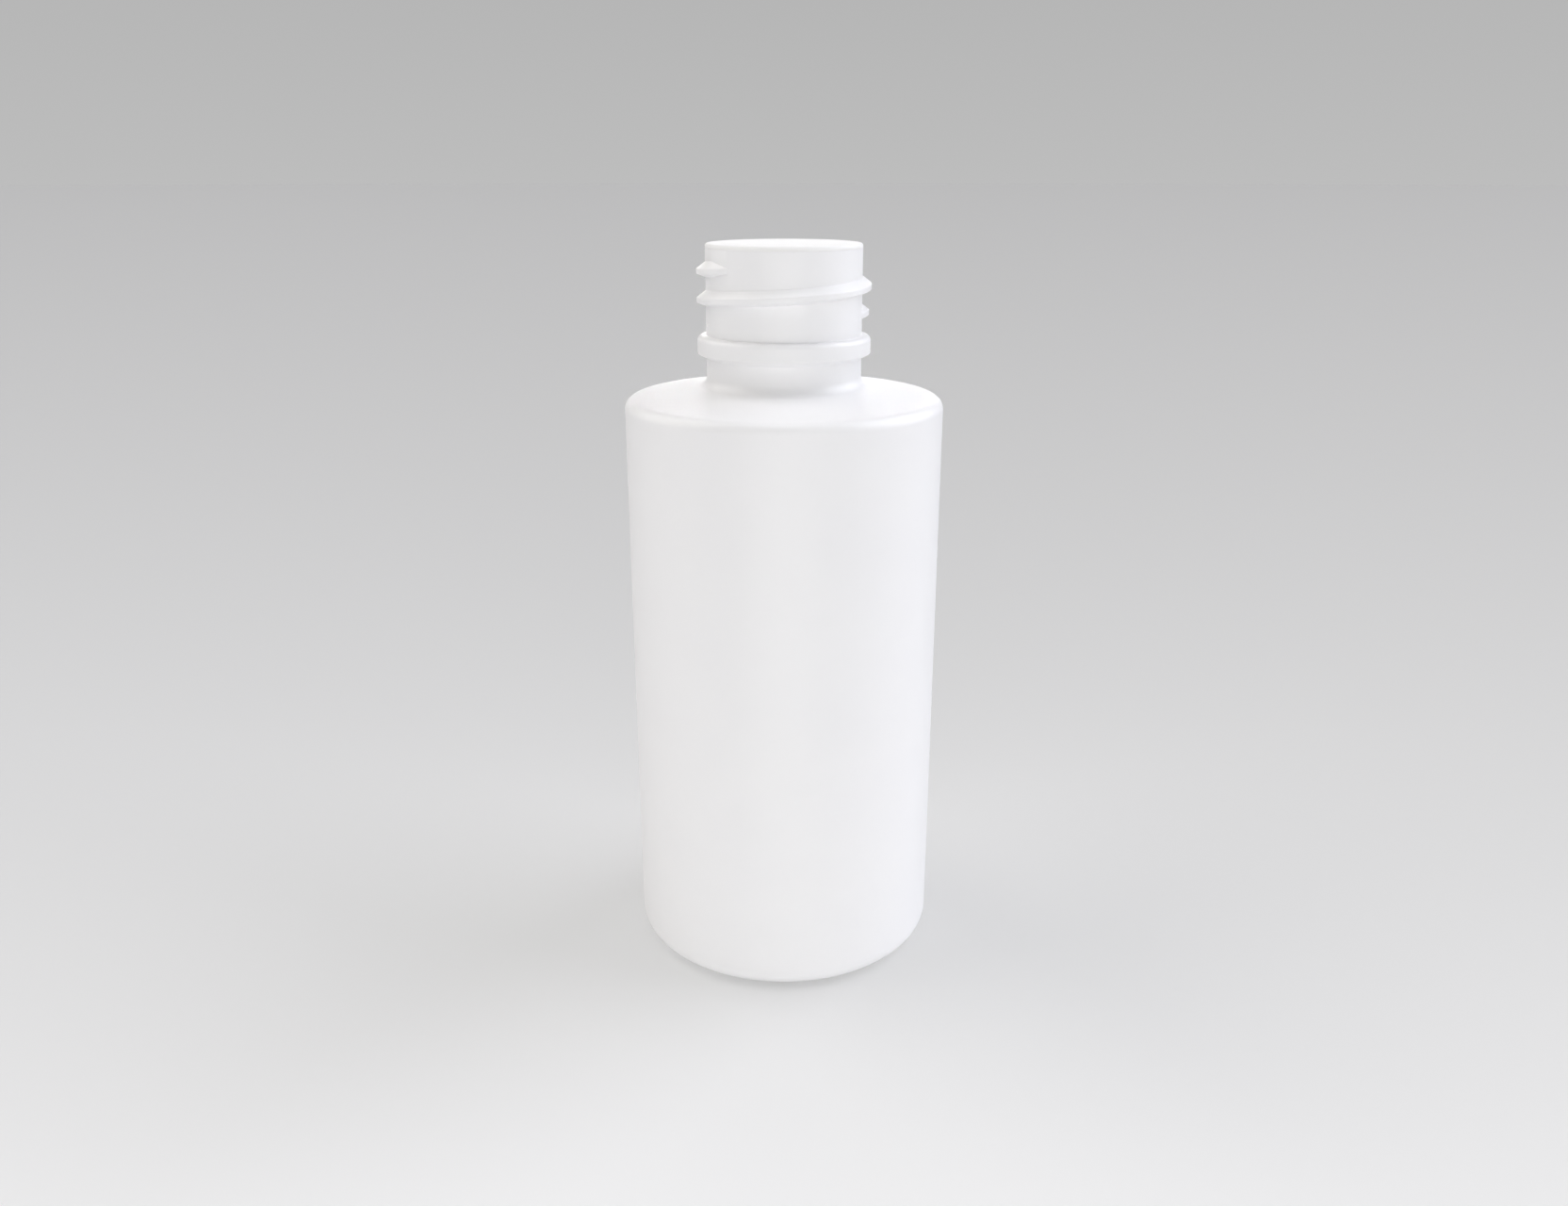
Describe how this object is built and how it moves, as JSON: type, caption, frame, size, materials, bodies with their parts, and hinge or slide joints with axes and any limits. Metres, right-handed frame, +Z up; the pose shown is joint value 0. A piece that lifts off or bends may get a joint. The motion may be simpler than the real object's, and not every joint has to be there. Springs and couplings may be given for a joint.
{
  "type": "plastic cosmetic bottle",
  "caption": "Straight round white plastic bottle with a shallow shoulder and a threaded screw neck, its mouth closed by a bonded disc seal.",
  "frame": {"origin": "centre of the circle that the bottle stands on", "axes": "+Z up along the bottle's axis, -Y towards the front, +X to the right seen from the front"},
  "size_m": [0.0368, 0.0368, 0.0854],
  "materials": {
    "white_plastic": "opaque white moulded polyethylene, semi-gloss",
    "white_foam": "white foamed sheet with a smooth skin, satin"
  },
  "bodies": {
    "bottle": {"bottle": "white_plastic"},
    "seal": {"mouth_seal": "white_foam"}
  },
  "joints": [
    {"name": "seal_lift", "type": "slide", "parent": "bottle", "child": "seal", "axis": [0, 0, 1], "range_m": [0, 0.03]}
  ]
}
